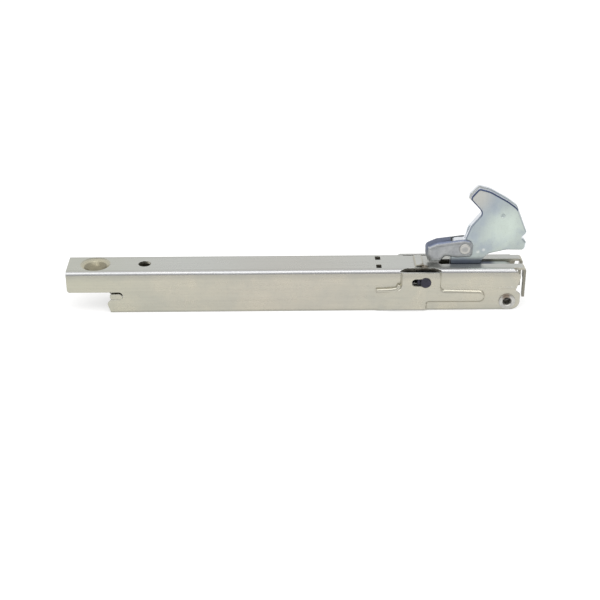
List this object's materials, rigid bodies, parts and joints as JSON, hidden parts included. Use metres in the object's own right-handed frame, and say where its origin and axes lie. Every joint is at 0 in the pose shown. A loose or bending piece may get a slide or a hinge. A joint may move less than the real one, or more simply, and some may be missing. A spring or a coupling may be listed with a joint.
{
  "type": "oven door hinge",
  "caption": "Sprung oven door hinge: a long folded steel channel with a hooked claw and safety latch at one end, and a tension spring, link and friction washers inside.",
  "frame": {"origin": "middle of the base: half way along the channel, on its centre plane, at the open mouth's edges", "axes": "+X along the channel towards the claw, +Y across it, +Z from the open mouth up through the web"},
  "size_m": [0.2064, 0.0218, 0.0569],
  "materials": {
    "galvanised_channel": "satin galvanised sheet",
    "zinc_claw": "bright blue zinc plate",
    "zinc_latch": "bright zinc plate",
    "zinc_link": "bright zinc plate",
    "spring_wire": "oiled brown spring wire",
    "friction_washers": "dark copper brown",
    "dark_pins": "dark violet-black",
    "bright_rivets": "satin plated"
  },
  "bodies": {
    "frame": {"channel": "galvanised_channel", "anchor_bar": "galvanised_channel", "tension_spring": "spring_wire", "pivot_rivet": "bright_rivets", "pivot_sleeve_front": "bright_rivets", "pivot_sleeve_rear": "bright_rivets", "guide_pin": "dark_pins", "guide_clip_front": "bright_rivets", "guide_clip_rear": "bright_rivets"},
    "claw": {"claw": "zinc_claw", "link_pin": "bright_rivets", "latch_rivet": "bright_rivets"},
    "latch": {"latch": "zinc_latch"},
    "link": {"drag_link": "zinc_link", "disc_axle": "bright_rivets", "friction_washer_front_inner": "friction_washers", "friction_washer_front_outer": "friction_washers", "friction_washer_rear_inner": "friction_washers", "friction_washer_rear_outer": "friction_washers"},
    "cam_roller": {"cam_roller": "dark_pins"}
  },
  "joints": [
    {"name": "claw_pivot", "type": "hinge", "parent": "frame", "child": "claw", "pos_m": [0.09515, 0, 0.0041], "axis": [0, 1, 0], "range_deg": [0, 90], "stiffness_Nm_per_rad": 0.3, "springref_deg": -28.65},
    {"name": "latch_pivot", "type": "hinge", "parent": "claw", "child": "latch", "pos_m": [0.07535, 0, 0.028], "axis": [0, 1, 0], "range_deg": [0, 55]},
    {"name": "link_slide", "type": "slide", "parent": "frame", "child": "link", "axis": [1, 0, 0], "range_m": [0, 0.0099], "deforming": ["tension_spring"]},
    {"name": "cam_roller_spin", "type": "hinge", "parent": "frame", "child": "cam_roller", "pos_m": [0.05775, 0, 0.0144], "axis": [0, 1, 0], "range_deg": [-167, 0]}
  ],
  "couplings": [
    {"joint": "link_slide", "follows": "claw_pivot", "m_per_rad": 0.0063},
    {"joint": "cam_roller_spin", "follows": "claw_pivot", "ratio": -1.8529}
  ]
}
